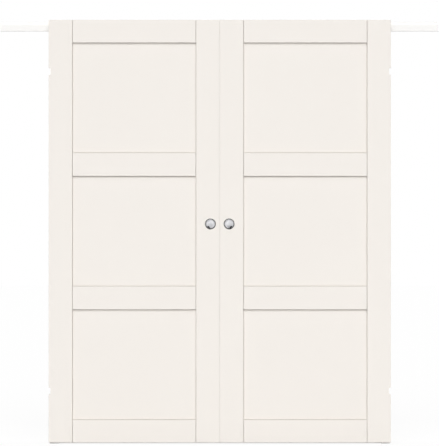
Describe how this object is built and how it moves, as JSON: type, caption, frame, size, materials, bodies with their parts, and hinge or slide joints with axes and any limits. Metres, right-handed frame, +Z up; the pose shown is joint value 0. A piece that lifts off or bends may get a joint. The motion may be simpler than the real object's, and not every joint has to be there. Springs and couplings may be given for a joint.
{
  "type": "double sliding door",
  "caption": "Double sliding door with white framed leaves, flat recessed panels and round flush pulls, hung from a concealed wheeled top track with a plain timber frame.",
  "frame": {"origin": "on the floor, under the line where the leaves meet, midway between the front of the pulls and the back of the frame", "axes": "+X along the door to the right as seen from the front, +Y from the leaves through the frame, +Z up"},
  "size_m": [3.0922, 0.1738, 2.046],
  "materials": {
    "leaf_paint": "satin off-white paint",
    "frame_paint": "satin off-white paint",
    "board_timber": "planed softwood",
    "track_white": "white powder coat",
    "pull_satin": "satin dish with a polished rim",
    "zinc_steel": "bright zinc plate",
    "cast_carriage": "cast zinc",
    "axle_steel": "ground steel",
    "wheel_nylon": "moulded nylon",
    "guide_nylon": "moulded nylon",
    "buffer_rubber": "matte rubber"
  },
  "bodies": {
    "frame": {"frame_head": "frame_paint", "track_board": "board_timber", "track": "track_white", "track_screws": "zinc_steel", "centre_stop": "cast_carriage", "stop_buffers": "buffer_rubber", "left_jamb": "frame_paint", "left_end_stop": "cast_carriage", "left_floor_guide": "guide_nylon", "right_jamb": "frame_paint", "right_end_stop": "cast_carriage", "right_floor_guide": "guide_nylon"},
    "left_leaf": {"left_outer_stile": "leaf_paint", "left_meeting_stile": "leaf_paint", "left_top_rail": "leaf_paint", "left_upper_rail": "leaf_paint", "left_lower_rail": "leaf_paint", "left_bottom_rail": "leaf_paint", "left_top_panel": "leaf_paint", "left_middle_panel": "leaf_paint", "left_bottom_panel": "leaf_paint", "left_front_pull": "pull_satin", "left_back_pull": "pull_satin", "left_outer_bracket": "zinc_steel", "left_inner_bracket": "zinc_steel", "left_bracket_screws": "zinc_steel", "left_hanger_bolts": "zinc_steel", "left_lock_nuts": "zinc_steel", "left_outer_carriage": "cast_carriage", "left_inner_carriage": "cast_carriage", "left_axle_pins": "axle_steel"},
    "right_leaf": {"right_outer_stile": "leaf_paint", "right_meeting_stile": "leaf_paint", "right_top_rail": "leaf_paint", "right_upper_rail": "leaf_paint", "right_lower_rail": "leaf_paint", "right_bottom_rail": "leaf_paint", "right_top_panel": "leaf_paint", "right_middle_panel": "leaf_paint", "right_bottom_panel": "leaf_paint", "right_front_pull": "pull_satin", "right_back_pull": "pull_satin", "right_outer_bracket": "zinc_steel", "right_inner_bracket": "zinc_steel", "right_bracket_screws": "zinc_steel", "right_hanger_bolts": "zinc_steel", "right_lock_nuts": "zinc_steel", "right_outer_carriage": "cast_carriage", "right_inner_carriage": "cast_carriage", "right_axle_pins": "axle_steel"},
    "left_wheels_1": {"left_wheels_1": "wheel_nylon"},
    "left_wheels_2": {"left_wheels_2": "wheel_nylon"},
    "left_wheels_3": {"left_wheels_3": "wheel_nylon"},
    "left_wheels_4": {"left_wheels_4": "wheel_nylon"},
    "right_wheels_1": {"right_wheels_1": "wheel_nylon"},
    "right_wheels_2": {"right_wheels_2": "wheel_nylon"},
    "right_wheels_3": {"right_wheels_3": "wheel_nylon"},
    "right_wheels_4": {"right_wheels_4": "wheel_nylon"}
  },
  "joints": [
    {"name": "left_leaf_slide", "type": "slide", "parent": "frame", "child": "left_leaf", "axis": [-1, 0, 0], "range_m": [0, 0.7]},
    {"name": "right_leaf_slide", "type": "slide", "parent": "frame", "child": "right_leaf", "axis": [1, 0, 0], "range_m": [0, 0.7]},
    {"name": "left_wheels_1_spin", "type": "hinge", "parent": "left_leaf", "child": "left_wheels_1", "pos_m": [-0.0341, -0.02705, 2.0083], "axis": [0, 1, 0], "continuous": true},
    {"name": "left_wheels_2_spin", "type": "hinge", "parent": "left_leaf", "child": "left_wheels_2", "pos_m": [-0.0801, -0.02705, 2.0083], "axis": [0, 1, 0], "continuous": true},
    {"name": "left_wheels_3_spin", "type": "hinge", "parent": "left_leaf", "child": "left_wheels_3", "pos_m": [-0.7461, -0.02705, 2.0083], "axis": [0, 1, 0], "continuous": true},
    {"name": "left_wheels_4_spin", "type": "hinge", "parent": "left_leaf", "child": "left_wheels_4", "pos_m": [-0.7921, -0.02705, 2.0083], "axis": [0, 1, 0], "continuous": true},
    {"name": "right_wheels_1_spin", "type": "hinge", "parent": "right_leaf", "child": "right_wheels_1", "pos_m": [0.0341, -0.02705, 2.0083], "axis": [0, 1, 0], "continuous": true},
    {"name": "right_wheels_2_spin", "type": "hinge", "parent": "right_leaf", "child": "right_wheels_2", "pos_m": [0.0801, -0.02705, 2.0083], "axis": [0, 1, 0], "continuous": true},
    {"name": "right_wheels_3_spin", "type": "hinge", "parent": "right_leaf", "child": "right_wheels_3", "pos_m": [0.7461, -0.02705, 2.0083], "axis": [0, 1, 0], "continuous": true},
    {"name": "right_wheels_4_spin", "type": "hinge", "parent": "right_leaf", "child": "right_wheels_4", "pos_m": [0.7921, -0.02705, 2.0083], "axis": [0, 1, 0], "continuous": true}
  ],
  "couplings": [
    {"joint": "left_wheels_1_spin", "follows": "left_leaf_slide", "rad_per_m": -100},
    {"joint": "left_wheels_2_spin", "follows": "left_leaf_slide", "rad_per_m": -100},
    {"joint": "left_wheels_3_spin", "follows": "left_leaf_slide", "rad_per_m": -100},
    {"joint": "left_wheels_4_spin", "follows": "left_leaf_slide", "rad_per_m": -100},
    {"joint": "right_wheels_1_spin", "follows": "right_leaf_slide", "rad_per_m": 100},
    {"joint": "right_wheels_2_spin", "follows": "right_leaf_slide", "rad_per_m": 100},
    {"joint": "right_wheels_3_spin", "follows": "right_leaf_slide", "rad_per_m": 100},
    {"joint": "right_wheels_4_spin", "follows": "right_leaf_slide", "rad_per_m": 100}
  ]
}
